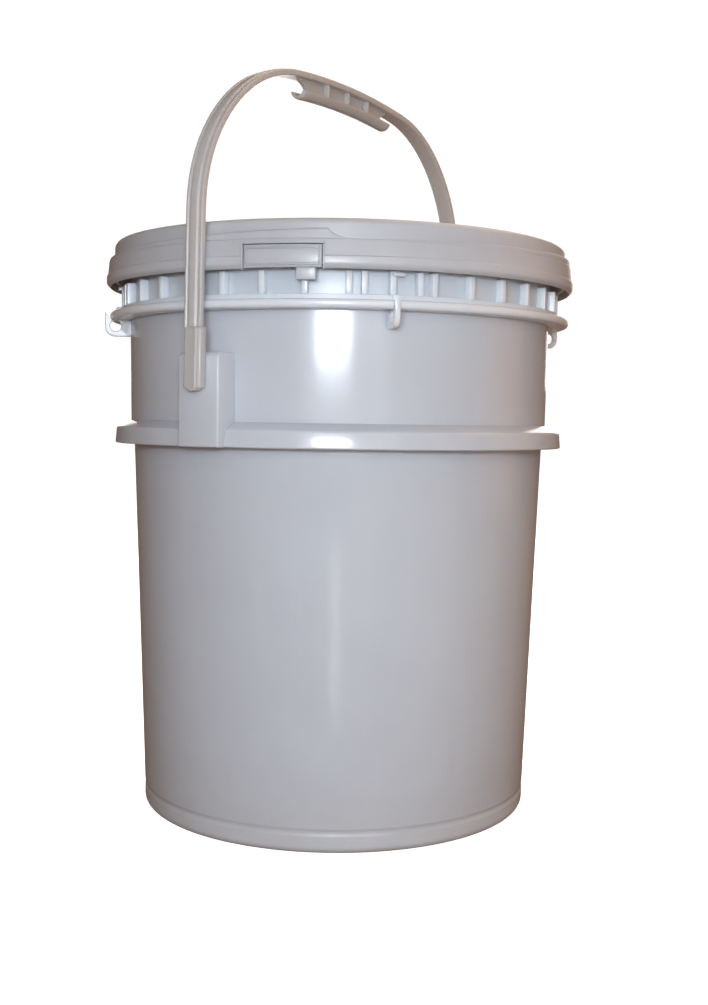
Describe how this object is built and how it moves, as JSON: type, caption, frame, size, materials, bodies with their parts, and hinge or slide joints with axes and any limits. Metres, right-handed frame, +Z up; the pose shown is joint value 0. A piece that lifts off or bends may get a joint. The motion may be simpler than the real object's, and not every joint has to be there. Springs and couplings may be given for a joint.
{
  "type": "plastic fermenting bucket",
  "caption": "Round tapered white plastic fermenting bucket with a stacking flange, ribbed neck, tie eyes, quarter-turn screw lid with press tab and airlock grommet, and a swinging bail handle.",
  "frame": {"origin": "centre of the face the bucket rests on", "axes": "+Z up, the bucket stands on z = 0; the handle's pegs lie along Y, the press tab is near -Y towards +X"},
  "size_m": [0.3206, 0.3338, 0.4941],
  "materials": {
    "bucket_plastic": "satin translucent white polyethylene",
    "neck_plastic": "satin translucent white polyethylene, thin sections",
    "lid_plastic": "satin translucent white polyethylene",
    "seal_rubber": "matt black rubber",
    "grommet_rubber": "matt dark grey rubber",
    "handle_plastic": "satin translucent white polyethylene"
  },
  "bodies": {
    "bucket": {"bucket_shell": "bucket_plastic", "stacking_flange": "bucket_plastic", "flange_gussets": "bucket_plastic", "neck_ring": "bucket_plastic", "neck_thread": "bucket_plastic", "handle_boss_front": "bucket_plastic", "handle_boss_back": "bucket_plastic", "neck_ribs": "neck_plastic", "neck_stops": "neck_plastic", "tie_eye_front_right": "neck_plastic", "tie_eye_back_right": "neck_plastic", "tie_eye_back_left": "neck_plastic", "tie_eye_front_left": "neck_plastic"},
    "seal": {"lid_seal": "seal_rubber"},
    "lid": {"lid_cap": "lid_plastic", "lid_skirt": "lid_plastic", "lid_shoulder_ramps": "lid_plastic", "lid_thread_lugs": "lid_plastic", "airlock_grommet": "grommet_rubber"},
    "press_tab": {"press_tab": "lid_plastic", "press_tab_tongue": "lid_plastic", "press_tab_pins": "lid_plastic"},
    "handle": {"handle_crown": "handle_plastic", "handle_shoulder_front": "handle_plastic", "handle_shoulder_back": "handle_plastic", "handle_bend_front": "handle_plastic", "handle_bend_back": "handle_plastic", "handle_leg_front": "handle_plastic", "handle_leg_back": "handle_plastic", "handle_grip": "handle_plastic", "handle_grip_webs": "handle_plastic", "handle_peg_front": "handle_plastic", "handle_peg_back": "handle_plastic"}
  },
  "joints": [
    {"name": "lid_rise", "type": "slide", "parent": "bucket", "child": "seal", "axis": [0, 0, 1], "range_m": [0, 0.006]},
    {"name": "lid_turn", "type": "hinge", "parent": "seal", "child": "lid", "pos_m": [0, 0, 0.3762], "axis": [0, 0, 1], "range_deg": [0, 87]},
    {"name": "tab_rock", "type": "hinge", "parent": "lid", "child": "press_tab", "pos_m": [0.05225, -0.14754, 0.3603], "axis": [-0.9426, -0.3338, 0], "range_deg": [0, 8], "stiffness_Nm_per_rad": 0.4},
    {"name": "handle_swing", "type": "hinge", "parent": "bucket", "child": "handle", "pos_m": [0, 0, 0.2885], "axis": [0, 1, 0], "range_deg": [-128, 128]}
  ],
  "couplings": [
    {"joint": "lid_rise", "follows": "lid_turn", "m_per_rad": 0.0038197}
  ]
}
